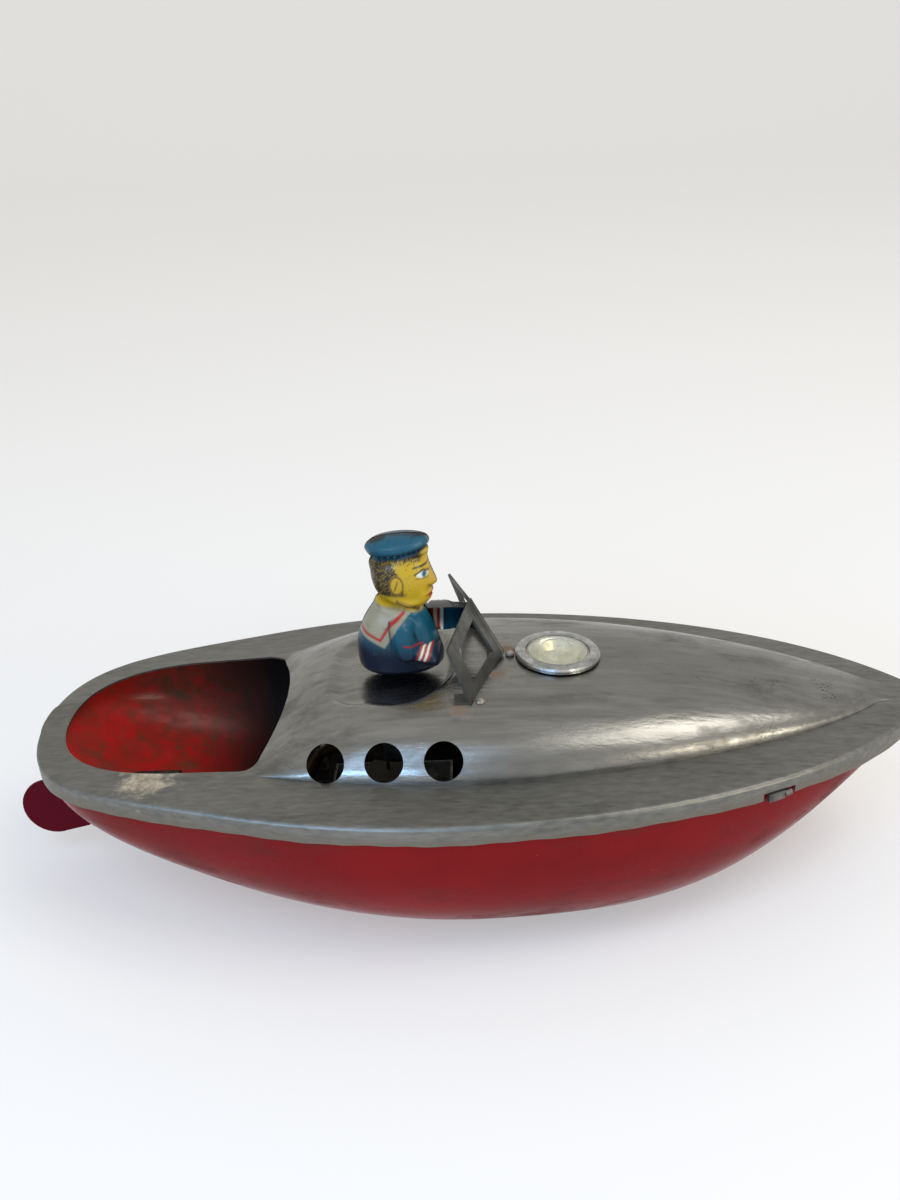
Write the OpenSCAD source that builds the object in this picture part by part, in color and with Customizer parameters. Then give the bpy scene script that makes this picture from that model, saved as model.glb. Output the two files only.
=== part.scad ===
// Tinplate steam boat with a driver, about 240 mm long.
// +X points to the bow, +Y to port and +Z up. The origin is under the middle of the
// bounding box, on the surface that the keel stands on.

/* [Hull and deck] */
// Length of the deck, bow to stern
deck_len = 230; // [216:1:244]
// Greatest breadth over the deck edge
beam = 106; // [98:1:112]
// Height of the deck edge above the flat of the keel
rim_h = 44; // [42:1:48]
// How far the deck edge drops towards the bow and the stern
sheer_drop = 1.2; // [0:0.1:2]
// Thickness of the tinplate
sheet = 0.5; // [0.4:0.05:0.6]
// Depth of the skirt that is folded down round the hull
skirt_h = 5; // [4:0.25:6]

/* [Dome] */
// Height of the raised deck above the side deck
dome_h = 13.4; // [12:0.1:15]
// Greatest half breadth of the raised deck
dome_half = 37.3; // [35:0.1:39]
// Diameter of the six portholes
port_d = 9.2; // [8:0.1:9.6]
// Distance between portholes
port_pitch = 14; // [12:0.5:15]

/* [Stern well and cockpit] */
// Half breadth of the stern well
well_half = 28.5; // [26:0.5:31]
// Half breadth of the cockpit
cockpit_half = 18; // [16:0.5:19]
// Height of the cockpit floor above the deck edge
cockpit_floor = 10; // [9:0.1:10.5]

/* [Rudder] */
// Diameter of the hinge pin
rudder_pin_d = 1.6; // [1.4:0.1:1.8]
// Height of the blade
rudder_h = 17; // [15:0.5:19]

/* [Steam plant] */
// Radius of the boiler pan
boiler_r = 15; // [13:0.5:16]
// Outer diameter of the water tubes
tube_d = 3.2; // [2.8:0.1:3.4]
// Length of the burner tray
tray_len = 32; // [28:1:33]
// Diameter of the candle
candle_d = 12; // [10:0.5:13]

/* [Hidden] */

hull_gap = 0.5;             // gap between the skirt and the hull, closed by solder
fit = 0.1;                  // gap between pieces that are soldered or folded together
half_len = deck_len / 2;
half_beam = beam / 2;
row_x = 6.17;               // the rudder overhangs the stern, so the box middle lies aft
tip_x = 0.906 * half_len;   // where the dome ends at the bow
well_front = -0.44 * half_len;
ring_fn = 48;

function keel_z(x) = max(-rim_h, rim_z(x) - 2 - keel_depth(x));
module place() { translate([row_x, 0, rim_h]) children(); }
// A pressing of free curves is evaluated as one mesh.
module pressing() { resize([0, 0, 0]) children(); }
module both_sides() { children(); mirror([0, 1, 0]) children(); }

// ---------- curves ----------
function bez(p, t) = pow(1 - t, 3) * p[0] + 3 * pow(1 - t, 2) * t * p[1]
    + 3 * (1 - t) * t * t * p[2] + pow(t, 3) * p[3];
function clamp01(t) = max(0, min(1, t));

// Deck outline from the stern to the bow, as fractions of the half length and half beam.
outline_curves = [
    [[-1, 0], [-1, 0.62], [-0.80, 0.67], [-0.53, 0.85]],
    [[-0.53, 0.85], [-0.39, 0.94], [-0.24, 1], [-0.10, 1]],
    [[-0.10, 1], [0.29, 1], [0.80, 0.73], [1, 0]]
];
curve_steps = [9, 7, 20];
blunt = 0.012;
stations = [
    for (c = [0:2], i = [(c == 0 ? 0 : 1):curve_steps[c]])
        let (t = max(c == 0 ? 2 * blunt : 0, min(c == 2 ? 1 - blunt : 1, i / curve_steps[c])))
        let (p = bez(outline_curves[c], t)) [p[0] * half_len, p[1] * half_beam]
];

function rim_z(x) = -sheer_drop * pow(x / half_len, 2);

// Depth of the hull below the deck edge along the keel.
keel_d = rim_h - 1;
function keel_depth(x) = let (t = abs(x) / half_len)
    x < 0 ? keel_d * pow(1 - pow(t, 1.8), 0.65) : keel_d * pow(1 - pow(t, 3.75), 2.4);

// Half breadth and height of the raised deck.
dome_widest = -3.2;
dome_aft = -56;
function dome_half_at(x) = x > dome_widest
    ? dome_half * pow(1 - pow(clamp01((x - dome_widest) / (tip_x - dome_widest)), 1.7), 0.7)
    : dome_half * (1 - 0.22 * pow((dome_widest - x) / 57, 2));
function dome_rise(x) = dome_h * (1 - pow(clamp01(x / tip_x), 2))
    * (1 - pow(1 - clamp01((x - dome_aft) / 45), 2.5));

// ---------- lofted solids ----------
// A closed solid through equal rings of points, with flat ends.
module loft(rings) {
    n = len(rings[0]);
    last = len(rings) - 1;
    polyhedron(
        points = [for (r = rings) each r],
        faces = concat(
            [for (i = [0:last - 1], j = [0:n - 1]) let (k = (j + 1) % n)
                [i * n + j, i * n + k, (i + 1) * n + k]],
            [for (i = [0:last - 1], j = [0:n - 1]) let (k = (j + 1) % n)
                [i * n + j, (i + 1) * n + k, (i + 1) * n + j]],
            [[for (j = [n - 1:-1:0]) j], [for (j = [0:n - 1]) last * n + j]]));
}

function two_sided(half) = concat(half, [for (i = [len(half) - 1:-1:0]) if (half[i][1] != 0)
    [half[i][0], -half[i][1], half[i][2]]]);

function flipped(ring) = [for (i = [len(ring) - 1:-1:0]) ring[i]];

// Hull filled up to lift above its edge, with its skin moved in by inset.
hull_steps = 12;
module hull_fill(inset, lift) {
    loft([for (s = stations)
        let (x = s[0] * (1 - (sheet + hull_gap + inset) / half_len), z = rim_z(s[0]))
        let (b = max(0.12, (s[1] - sheet - hull_gap) * (1 - inset / half_beam)))
        let (d = max(0.3, keel_depth(s[0]) * (1 - inset / keel_d)))
        two_sided(concat(
            [[x, b, z + lift]],
            [for (i = [0:hull_steps]) let (a = 90 * i / hull_steps)
                [x, i == hull_steps ? 0 : b * pow(cos(a), 0.667),
                    max(inset - rim_h, z - 2 - d * pow(sin(a), 0.667))]]))]);
}

// Deck filled down to drop below its edge, with its skin moved in by inset.
dome_steps = 10;
module deck_fill(inset, drop) {
    loft([for (s = stations)
        let (x = s[0] * (1 - inset / half_len), z = rim_z(s[0]) - inset)
        let (b = max(0.12, s[1] - inset), h = dome_rise(s[0]))
        let (d = max(min(dome_half_at(s[0]), 0.73 * s[1]), 0.3 * s[1]) - inset)
        let (w = max(0.05, min(d, 0.8 * b)))
        flipped(two_sided(concat(
            [[x, b - min(0.3, 0.2 * b), z - drop], [x, b, z - 1], [x, b - min(0.35, 0.1 * b), z - 0.3],
                [x, b - min(1.2, 0.15 * b), z]],
            [for (i = [0:dome_steps]) let (a = 90 * i / dome_steps)
                [x, i == dome_steps ? 0 : w * cos(a),
                    z + 0.6 + h * pow(1 - pow(cos(a), 3), 0.56)]])))]);
}

// ---------- openings in the deck ----------
well_curve = [[-0.94, 0], [-0.94, 0.62], [-0.85, 0.92], [-0.68, 0.97]];
well_side = concat(
    [for (i = [0:10]) let (p = bez(well_curve, i / 10)) [p[0] * half_len, p[1] * well_half]],
    [for (a = [80:-20:0]) [well_front - 9 + 5 * cos(a), well_half - 5 + 5 * sin(a)]],
    [for (i = [1:4]) [well_front - 4 + i, (well_half - 5) * sqrt(1 - i / 4)]]);
module well_cut() {
    translate([0, 0, -12]) linear_extrude(30)
        polygon(concat(well_side, [for (i = [len(well_side) - 2:-1:1]) [well_side[i][0], -well_side[i][1]]]));
}

cockpit_aft = -37;
cockpit_mid = -22;
module cockpit_outline(grow) {
    fore = [for (a = [0:10:90]) [cockpit_mid + (14.5 + grow) * cos(a), (cockpit_half + grow) * sin(a)]];
    aft = [for (a = [90:15:180]) [cockpit_aft + 4 + (4 + grow) * cos(a), cockpit_half - 6 + (4 + grow) * sin(a)]];
    side = concat(fore, aft);
    polygon(concat(side, [for (i = [len(side) - 1:-1:1]) [side[i][0], -side[i][1]]]));
}

light_x = 19.4;
light_z = dome_rise(light_x) + 0.6;
light_tilt = atan((dome_rise(light_x - 1) - dome_rise(light_x + 1)) / 2);
ports_x = [for (i = [-1:1]) -23.5 + i * port_pitch];
port_z = 5.2;
port_tilt = 28;
tab_x = 68;
tab_y = lookup(tab_x, stations);
tab_turn = atan2(lookup(tab_x + 3, stations) - lookup(tab_x - 3, stations), 6);

// ---------- hull group ----------
tube_y = 9;             // where the tubes leave the boiler
exit_y = 3.8;           // where they go out through the hull
exit_z = -23.6;
module hull_shell() {
    color("firebrick") place() pressing() difference() {
        hull_fill(0, -sheet - hull_gap);
        hull_fill(sheet, 1);
        both_sides() translate([-78, exit_y, exit_z]) rotate([0, -90, 0])
            cylinder(h = 24, d = tube_d + 2.6, $fn = 24);
    }
}

// The deck's filled shape with the cockpit pressed into it.
module deck_body(inset, drop) {
    difference() {
        deck_fill(inset, drop);
        translate([0, 0, cockpit_floor - inset]) linear_extrude(30) cockpit_outline(inset);
    }
}
module deck() {
    color("darkgray") place() pressing() difference() {
        deck_body(0, skirt_h);
        deck_body(sheet, skirt_h + 2);
        well_cut();
        for (x = ports_x) both_sides() translate([x, dome_half - 3, port_z]) rotate([port_tilt - 90, 0, 0])
            translate([0, 0, -12]) cylinder(h = 22, d = port_d, $fn = 32);
        translate([light_x, 0, 0]) cylinder(h = 30, r = 7.9, $fn = ring_fn);
        driver_slots(0.2);
        both_sides() tab_place() translate([-3.6, -3, -skirt_h - 1]) cube([7.6, 6, 2.7]);
    }
}

module tab_place() { translate([tab_x, tab_y, 0]) rotate([0, 0, tab_turn]) children(); }
module bow_fixing_tabs() {
    color("dimgray") place() both_sides() tab_place() translate([-3, -0.75, -skirt_h - 0.9]) {
        cube([4.4, 1, 2.2]);
        translate([4.4, 0.5, 1.1]) rotate([0, 90, 0]) cylinder(h = 1.8, d = 1.6, $fn = 24);
    }
}

// ---------- windscreen ----------
// Each leaf is a raked frame between the apex on the centreline and an outer post.
apex_low = [5, 0, 14.4];
apex_high = [-2.8, 0, 29.8];
outer_low = [-3.2, 21.6, 12.2];
outer_high = [-8.2, 21.2, 27.2];
leaf_t = 0.7;
function leaf_point(s, t) = (1 - s) * ((1 - t) * apex_low + t * apex_high)
    + s * ((1 - t) * outer_low + t * outer_high);
leaf_normal = let (n = cross(outer_low - apex_low, apex_high - apex_low)) n / norm(n);
function quad(s0, t0, s1, t1, off) = [for (q = [[s0, t0], [s1, t0], [s1, t1], [s0, t1]])
    leaf_point(q[0], q[1]) + off * leaf_normal];
module leaf_block(s0, t0, s1, t1, off0, off1) { loft([quad(s0, t0, s1, t1, off1), quad(s0, t0, s1, t1, off0)]); }
module leaf() {
    difference() {
        leaf_block(-0.04, 0, 1, 1, 0, leaf_t);
        leaf_block(0.17, 0.2, 0.8, 0.8, -1, leaf_t + 1);
    }
}
module above_deck(gap) {
    difference() {
        children();
        translate([0, 0, gap]) deck_fill(0, skirt_h);
    }
}
// A foot is a strip bent flat on the deck.
module foot(p, width, depth) {
    intersection() {
        translate([p[0] - width + 0.4, p[1] - depth, 0]) cube([width, depth, 30]);
        translate([0, 0, 0.7]) deck_fill(0, skirt_h);
    }
}
module screen_body() {
    both_sides() leaf();
    both_sides() foot(outer_low, 4, 3.4);
    foot(apex_low + [0, 1.6, 0], 4, 3.2);
}
module windscreen() {
    color("gray") place() pressing() above_deck(0.05) screen_body();
}
// A bead of solder lies in front of each foot.
module solder_bead(p) { translate(p) scale([1, 1, 0.7]) sphere(1.2, $fn = 12); }
module windscreen_solder() {
    color("saddlebrown") place() pressing() above_deck(0.08) {
        both_sides() solder_bead(outer_low + [2.6, -1.2, 0.4]);
        solder_bead(apex_low + [2.3, 0, 0]);
    }
}

// ---------- deck light ----------
module turned(profile) {
    place() translate([light_x, 0, light_z]) rotate([0, light_tilt, 0]) rotate_extrude($fn = ring_fn) polygon(profile);
}
module deck_light_bezel() {
    color("silver") turned([[8.2, 1.0], [9.5, 1.0], [9.5, 0.4], [9.9, 0.2], [10.8, 0.2], [10.8, 0.9],
        [10.4, 1.35], [9.2, 1.55], [8.2, 1.35]]);
}
module deck_light_lens() {
    color("whitesmoke") turned([[0, 1.9], [4, 1.7], [7.4, 0.9], [7.8, 0.46], [9.4, 0.46], [9.4, 0.92],
        [8.1, 0.95], [7.8, 1.4], [4.4, 2.35], [0, 2.7]]);
}
module deck_light_reflector() {
    color("khaki") turned([[0, -2.3], [5, -1.7], [7.3, 0], [7.3, 0.2], [9.4, 0.2], [9.4, 0.4], [7.1, 0.4],
        [4.8, -1.4], [0, -2]]);
}

// ---------- driver ----------
module driver_slots(grow) {
    for (x = [-23.5, -17.7]) translate([x - 1.2 - grow, -0.5 - grow, cockpit_floor - 2])
        cube([2.4 + 2 * grow, 1 + 2 * grow, 6]);
}
// A round boss of a pressing: its centre, then its radii, less the depth k.
module boss(c, rad, k) { translate(c) scale(rad - [k, k, k]) sphere(1, $fn = 14); }
module blend(a, b, k) {
    hull() {
        boss(a[0], a[1], k);
        boss(b[0], b[1], k);
    }
}
// Torso, neck, head, face and cap, which both halves share.
module driver_bust(k) {
    blend([[-24.2, 0, 24.8], [6, 7, 5.6]], [[-20.6, 0, 19], [9.8, 9.6, 5.8]], k);
    boss([-19, 0, 28], [6.4, 6.4, 4.4], k);
    boss([-20.6, 0, cockpit_floor + 6], [9, 5.5, 8], k);
    blend([[-18.8, 0, 37.2], [7.6, 5.4, 7]], [[-18, 0, 33.4], [6, 4.6, 4.6]], k);
    blend([[-13.8, 0, 35.6], [3, 2.4, 2.4]], [[-15.6, 0, 33], [3.4, 3.4, 3.2]], k);
    blend([[-23.4, 0, 44.4], [4.6, 5.4, 3]], [[-15, 0, 46.2], [3.6, 5, 2.8]], k);
}
function driver_arm(port) = port
    ? [[[-17.5, 4.4, 26], [3.4, 3.6, 3.4]], [[-11, 6, 25.2], [2.3, 2.3, 2.2]], [[-2.4, 6.7, 24.2], [1.9, 1.7, 1.7]]]
    : [[[-19.5, 5.4, 24.4], [3.4, 4, 3.6]], [[-18, 6.6, 18.6], [2.8, 3, 2.8]], [[-11.4, 6, 17.2], [2, 2.2, 2]]];
module driver_relief(k, port) {
    arm = driver_arm(port);
    driver_bust(k);
    for (i = [0:1]) blend(arm[i], arm[i + 1], k);
}
module driver_half(port) {
    pressing() intersection() {
        difference() {
            driver_relief(0, port);
            driver_relief(0.55, port);
        }
        translate([-40, 0.15, cockpit_floor + fit]) cube([50, 12, 60]);
    }
}
module driver_starboard_half() { color("teal") place() mirror([0, 1, 0]) driver_half(false); }
module driver_port_half() { color("darkcyan") place() driver_half(true); }
module driver_tabs() {
    color("dimgray") place() driver_slots(0);
}

// ---------- boiler ----------
boiler_x = -22;
boiler_z = -3;          // height of the seam
pan_depth = 5;
tube_in_z = -5.9;
module at_boiler() { place() translate([boiler_x, 0, boiler_z]) children(); }
module boiler_pan() {
    color("goldenrod") at_boiler() difference() {
        rotate_extrude($fn = 64) polygon([[0, -pan_depth], [boiler_r - 1, -pan_depth], [boiler_r, -pan_depth + 1],
            [boiler_r, -0.5], [boiler_r + 2, -0.5], [boiler_r + 2, 0], [boiler_r - 0.5, 0],
            [boiler_r - 0.5, -pan_depth + 1.2], [boiler_r - 1.2, -pan_depth + 0.5], [0, -pan_depth + 0.5]]);
        for (y = [-tube_y, tube_y]) translate([-boiler_r + 5, y, tube_in_z - boiler_z]) rotate([0, -90, 0])
            cylinder(h = 12, d = tube_d + 2 * fit, $fn = 32);
    }
}
// The springy top of the boiler, dished upwards by its pressing.
module boiler_diaphragm() {
    color("gold") at_boiler() rotate_extrude($fn = 64) polygon([[0, 1.2], [4, 1.2], [5, 0.8], [boiler_r - 1, 0.8],
        [boiler_r - 1, 1.1], [5.2, 1.1], [4.2, 1.5], [0, 1.5]]);
}
module boiler_seam_ring() {
    color("peru") at_boiler() rotate_extrude($fn = 64) polygon([[boiler_r - 0.7, 0.05], [boiler_r + 2.05, 0.05],
        [boiler_r + 2.05, -1.1], [boiler_r + 2.6, -1.1], [boiler_r + 2.6, 1.4], [boiler_r - 0.7, 1.4]]);
}
// Two straps hang the boiler under the cockpit floor.
hanger_y = boiler_r + 2.7;
hanger_z = boiler_z - 1.7;
module boiler_hangers() {
    color("lightslategray") place() both_sides() translate([boiler_x - 3, hanger_y, 0]) {
        translate([0, 0, hanger_z]) cube([6, sheet, cockpit_floor - sheet - fit - hanger_z]);
        translate([0, -2.6, hanger_z]) cube([6, 2.6, 0.5]);
    }
}

// ---------- water tubes ----------
tube_route = [[-32.5, tube_y, tube_in_z], [-38, 9.2, tube_in_z], [-42, 10.2, -7.4], [-44.5, 11.4, -11],
    [-46.5, 12.4, -15.5], [-50, 12.8, -20.5], [-54, 12.8, -25.5], [-60, 12.4, -28.6], [-67, 11.8, -28.8],
    [-72, 9.6, -27.8], [-77, 6.2, -25.6], [-82, exit_y, exit_z], [-96, exit_y, exit_z]];
function unit(v) = v / norm(v);
function tangent(p, i) = unit(p[min(i + 1, len(p) - 1)] - p[max(i - 1, 0)]);
function ring_at(p, i, r, n) = let (t = tangent(p, i), u = unit(cross([0, 1, 0.2], t)), w = cross(t, u))
    [for (k = [0:n - 1]) p[i] + r * (cos(360 * k / n) * u - sin(360 * k / n) * w)];
module water_tube() {
    n = 12;
    stretched = [for (i = [0:len(tube_route) - 1]) tube_route[i] + (i == 0 ? [1, 0, 0] : [0, 0, 0])
        + (i == len(tube_route) - 1 ? [-1, 0, 0] : [0, 0, 0])];
    pressing() difference() {
        loft([for (i = [0:len(tube_route) - 1]) ring_at(tube_route, i, tube_d / 2, n)]);
        loft([for (i = [0:len(stretched) - 1]) ring_at(stretched, i, tube_d / 2 - 0.4, n)]);
    }
}
module water_tube_port() { color("darkgoldenrod") place() water_tube(); }
module water_tube_starboard() { color("darkgoldenrod") place() mirror([0, 1, 0]) water_tube(); }
module tube_ferrules() {
    color("silver") place() both_sides() translate([-83.5, exit_y, exit_z]) rotate([0, -90, 0]) difference() {
        cylinder(h = 12, d = tube_d + 2.4, $fn = 32);
        translate([0, 0, -1]) cylinder(h = 14, d = tube_d + 1, $fn = 32);
    }
}

// ---------- burner ----------
tray_z = -28;
tray_half = 8.5;
tray_fore = -9;
tray_aft = tray_fore - tray_len;
module burner_cradle() {
    color("slategray") place() pressing() intersection() {
        hull_fill(sheet + 0.15, 0);
        union() {
            translate([-60, -tray_half - 1.3, tray_z - 0.8]) cube([52, 2 * tray_half + 2.6, 0.5]);
            both_sides() translate([-60, tray_half + 0.3, tray_z - 0.8]) cube([52, 0.5, 4.4]);
            for (x = [-56, -16]) both_sides() translate([x, tray_half - 1, -50]) cube([5, 0.6, 50 + tray_z - 0.5]);
        }
    }
}
module burner_tray() {
    color("gainsboro") place() difference() {
        translate([tray_aft, -tray_half, tray_z]) cube([tray_len, 2 * tray_half, 5]);
        translate([tray_aft + 0.5, -tray_half + 0.5, tray_z + 0.5])
            cube([tray_len - 1, 2 * tray_half - 1, 5]);
    }
}
candle_x = tray_aft + 15;
module burner_candle() {
    color("ivory") place() translate([candle_x, 0, tray_z + 0.5]) difference() {
        cylinder(h = 8, d = candle_d, $fn = 48);
        translate([0, 0, 4]) cylinder(h = 5, d = 0.8, $fn = 24);
    }
}
module burner_wick() {
    color("black") place() translate([candle_x, 0, tray_z + 4.5]) cylinder(h = 7, d = 0.8, $fn = 24);
}
module burner_handle() {
    color("lightgray") place() translate([tray_aft - 0.5, 0, tray_z]) {
        translate([0, -4, 0]) cube([0.5, 8, 13]);
        translate([-1.2, 4, 13]) rotate([90, 0, 0]) difference() {
            cylinder(h = 8, r = 1.7, $fn = 32);
            translate([0, 0, -1]) cylinder(h = 10, r = 1.2, $fn = 32);
        }
    }
}

// ---------- rudder ----------
hinge_x = -107;
blade_top = -19.5;
blade_aft = -126.5;
knuckle_d = 3.4;
knuckle_h = 3.4;
module knuckle(z, h, bore) {
    translate([hinge_x, 0, z]) difference() {
        cylinder(h = h, d = knuckle_d, $fn = 32);
        translate([0, 0, -1]) cylinder(h = h + 2, d = bore, $fn = 32);
    }
}
knuckle_low = blade_top - rudder_h + 3;
knuckle_high = blade_top - 2 - knuckle_h;
module rudder_bracket() {
    color("maroon") place() {
        knuckle(knuckle_low, knuckle_h, rudder_pin_d);
        knuckle(knuckle_high, knuckle_h, rudder_pin_d);
        difference() {
            translate([0, 0.35, 0]) rotate([90, 0, 0]) linear_extrude(0.7) polygon(concat(
                [[hinge_x + 1.2, knuckle_low], [hinge_x + 6, knuckle_low + 0.5]],
                [for (x = [-85:-4:-101]) [x, keel_z(x) - fit]],
                [[hinge_x + 1.2, knuckle_high + knuckle_h]]));
            translate([hinge_x, 0, knuckle_low - 1]) cylinder(h = 40, d = knuckle_d - 0.4, $fn = 32);
            translate([hinge_x, 0, knuckle_low + knuckle_h])
                cylinder(h = knuckle_high - knuckle_low - knuckle_h, d = knuckle_d + 0.8, $fn = 32);
        }
    }
}
module rudder_pin() {
    color("silver") place() translate([hinge_x, 0, knuckle_low - 0.7]) {
        cylinder(h = knuckle_high + knuckle_h - knuckle_low + 1.4, d = rudder_pin_d, $fn = 32);
        cylinder(h = 0.6, d = rudder_pin_d + 1, $fn = 32);
        translate([0, 0, knuckle_high + knuckle_h - knuckle_low + 0.8]) cylinder(h = 0.6, d = rudder_pin_d + 1, $fn = 32);
    }
}
blade_fore = hinge_x - knuckle_d / 2 - 0.5;
blade_mid = (blade_fore + blade_aft) / 2;
module rudder_blade() {
    color("darkred") place() {
        knuckle(knuckle_low + knuckle_h + 0.2, knuckle_high - knuckle_low - knuckle_h - 0.4, rudder_pin_d + 0.16);
        difference() {
            translate([0, 0.35, 0]) rotate([90, 0, 0]) linear_extrude(0.7) polygon(concat(
                [[hinge_x - 1, knuckle_low + knuckle_h + 0.4], [blade_fore, knuckle_low + knuckle_h - 0.3],
                    [blade_fore, blade_top - rudder_h + 2]],
                [for (a = [-110:10:90]) [blade_mid - 0.5 - (blade_mid - 0.5 - blade_aft) * cos(a),
                    blade_top - rudder_h / 2 + rudder_h / 2 * sin(a)]],
                [[blade_fore, blade_top - 1.2], [blade_fore, knuckle_high + 0.1], [hinge_x - 1, knuckle_high - 0.4]]));
            translate([hinge_x, 0, knuckle_low - 1]) cylinder(h = 40, d = rudder_pin_d + 0.6, $fn = 32);
        }
    }
}

hull_shell();
deck();
bow_fixing_tabs();
windscreen();
windscreen_solder();
deck_light_bezel();
deck_light_lens();
deck_light_reflector();
driver_starboard_half();
driver_port_half();
driver_tabs();
boiler_pan();
boiler_diaphragm();
boiler_seam_ring();
boiler_hangers();
water_tube_starboard();
water_tube_port();
tube_ferrules();
burner_cradle();
burner_tray();
burner_handle();
burner_candle();
burner_wick();
rudder_bracket();
rudder_pin();
rudder_blade();
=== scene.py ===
"""The looks of a tinplate steam boat with a driver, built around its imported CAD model.

Sizes are in millimetres until mesh_object() turns them into metres. In them x = 0 is the middle of the deck,
z = 0 is the deck edge, +X is the bow and +Y is port, as in the part's source.
"""
import math

import bmesh
import bpy
import numpy as np
from mathutils import Matrix, Vector


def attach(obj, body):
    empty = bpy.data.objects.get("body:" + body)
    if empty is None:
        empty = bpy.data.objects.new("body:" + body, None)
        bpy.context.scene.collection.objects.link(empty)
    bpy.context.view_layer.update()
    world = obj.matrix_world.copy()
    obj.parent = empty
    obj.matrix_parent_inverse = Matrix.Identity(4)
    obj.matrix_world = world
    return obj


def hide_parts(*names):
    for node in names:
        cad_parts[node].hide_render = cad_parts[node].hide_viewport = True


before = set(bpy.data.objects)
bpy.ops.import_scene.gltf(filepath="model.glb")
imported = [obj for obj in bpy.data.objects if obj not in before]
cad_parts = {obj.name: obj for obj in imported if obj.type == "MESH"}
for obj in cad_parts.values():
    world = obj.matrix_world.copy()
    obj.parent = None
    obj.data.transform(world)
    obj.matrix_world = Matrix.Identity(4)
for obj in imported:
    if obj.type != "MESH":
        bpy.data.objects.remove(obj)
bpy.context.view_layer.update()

MM = 0.001
DECK_LEN = 230.0
BEAM = 106.0
RIM_H = 44.0
SHEER_DROP = 1.2
SHEET = 0.5
SKIRT_H = 5.0
DOME_H = 13.4
DOME_HALF = 37.3
PORT_D = 9.2
PORT_PITCH = 14.0
PORT_X = -23.5
PORT_Z = 5.2
PORT_TILT = 28.0
WELL_HALF = 28.5
COCKPIT_HALF = 18.0
COCKPIT_FLOOR = 10.0
HULL_GAP = 0.5
HALF_LEN = DECK_LEN / 2
HALF_BEAM = BEAM / 2
ROW_X = 6.17
TIP_X = 0.906 * HALF_LEN
WELL_FRONT = -0.44 * HALF_LEN
KEEL_D = RIM_H - 1
LIGHT_X = 19.4
TAB_X = 68.0


# ---------- curves ----------
def bezier(p, t):
    """A point of a cubic Bezier curve."""
    p = np.asarray(p, float)
    return (1 - t) ** 3 * p[0] + 3 * (1 - t) ** 2 * t * p[1] + 3 * (1 - t) * t * t * p[2] + t ** 3 * p[3]


def clamp01(t):
    return max(0.0, min(1.0, t))


def smoothstep(low, high, value):
    t = np.clip((value - low) / (high - low), 0.0, 1.0)
    return t * t * (3 - 2 * t)


OUTLINE_CURVES = (
    ((-1, 0), (-1, 0.62), (-0.80, 0.67), (-0.53, 0.85)),
    ((-0.53, 0.85), (-0.39, 0.94), (-0.24, 1), (-0.10, 1)),
    ((-0.10, 1), (0.29, 1), (0.80, 0.73), (1, 0)),
)
CURVE_STEPS = (40, 24, 84)
BLUNT = 0.012


def stations():
    """Places along the deck outline: x and the half breadth there."""
    found = []
    for curve, steps in enumerate(CURVE_STEPS):
        for i in range(0 if curve == 0 else 1, steps + 1):
            low = 2 * BLUNT if curve == 0 else 0.0
            high = 1 - BLUNT if curve == 2 else 1.0
            p = bezier(OUTLINE_CURVES[curve], max(low, min(high, i / steps)))
            if not found or p[0] * HALF_LEN > found[-1][0] + 0.01:
                found.append((p[0] * HALF_LEN, p[1] * HALF_BEAM))
    return found


COCKPIT_SPAN = (-46.0, 0.0)


def refined(found, step=0.55):
    """The same places, with more of them along the cockpit."""
    xs = [s[0] for s in found]
    ys = [s[1] for s in found]
    kept = [s for s in found if not COCKPIT_SPAN[0] < s[0] < COCKPIT_SPAN[1]]
    count = int((COCKPIT_SPAN[1] - COCKPIT_SPAN[0]) / step)
    for i in range(1, count):
        x = COCKPIT_SPAN[0] + i * step
        kept.append((x, float(np.interp(x, xs, ys))))
    return sorted(kept)


STATIONS = refined(stations())


def half_breadth(x):
    return float(np.interp(x, [s[0] for s in STATIONS], [s[1] for s in STATIONS]))


def rim_z(x):
    return -SHEER_DROP * (x / HALF_LEN) ** 2


def keel_depth(x):
    t = abs(x) / HALF_LEN
    if x < 0:
        return KEEL_D * (1 - t ** 1.8) ** 0.65
    return KEEL_D * (1 - t ** 3.75) ** 2.4


DOME_WIDEST = -3.2
DOME_AFT = -56.0


def dome_half_at(x):
    if x > DOME_WIDEST:
        return DOME_HALF * (1 - clamp01((x - DOME_WIDEST) / (TIP_X - DOME_WIDEST)) ** 1.7) ** 0.7
    return DOME_HALF * (1 - 0.22 * ((DOME_WIDEST - x) / 57) ** 2)


def dome_rise(x):
    return DOME_H * (1 - clamp01(x / TIP_X) ** 2) * (1 - (1 - clamp01((x - DOME_AFT) / 45)) ** 2.5)


def edge_distance(outline, x, z):
    """How far points are inside an outline (negative outside), and the nearest point of its edge."""
    a = outline
    b = np.roll(outline, -1, axis=0)
    px = x[:, None]
    pz = z[:, None]
    dx, dz = (b - a).T
    length = np.maximum(dx * dx + dz * dz, 1e-12)
    t = np.clip(((px - a[:, 0]) * dx + (pz - a[:, 1]) * dz) / length, 0, 1)
    nx = a[:, 0] + t * dx
    nz = a[:, 1] + t * dz
    d = np.hypot(px - nx, pz - nz)
    k = np.argmin(d, axis=1)
    rows = np.arange(len(x))
    spans = (a[:, 1] > pz) != (b[:, 1] > pz)
    crossing = spans & (px < dx * (pz - a[:, 1]) / np.where(dz == 0, 1e-12, dz) + a[:, 0])
    inside = crossing.sum(axis=1) % 2 == 1
    return np.where(inside, d[rows, k], -d[rows, k]), nx[rows, k], nz[rows, k]


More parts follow.
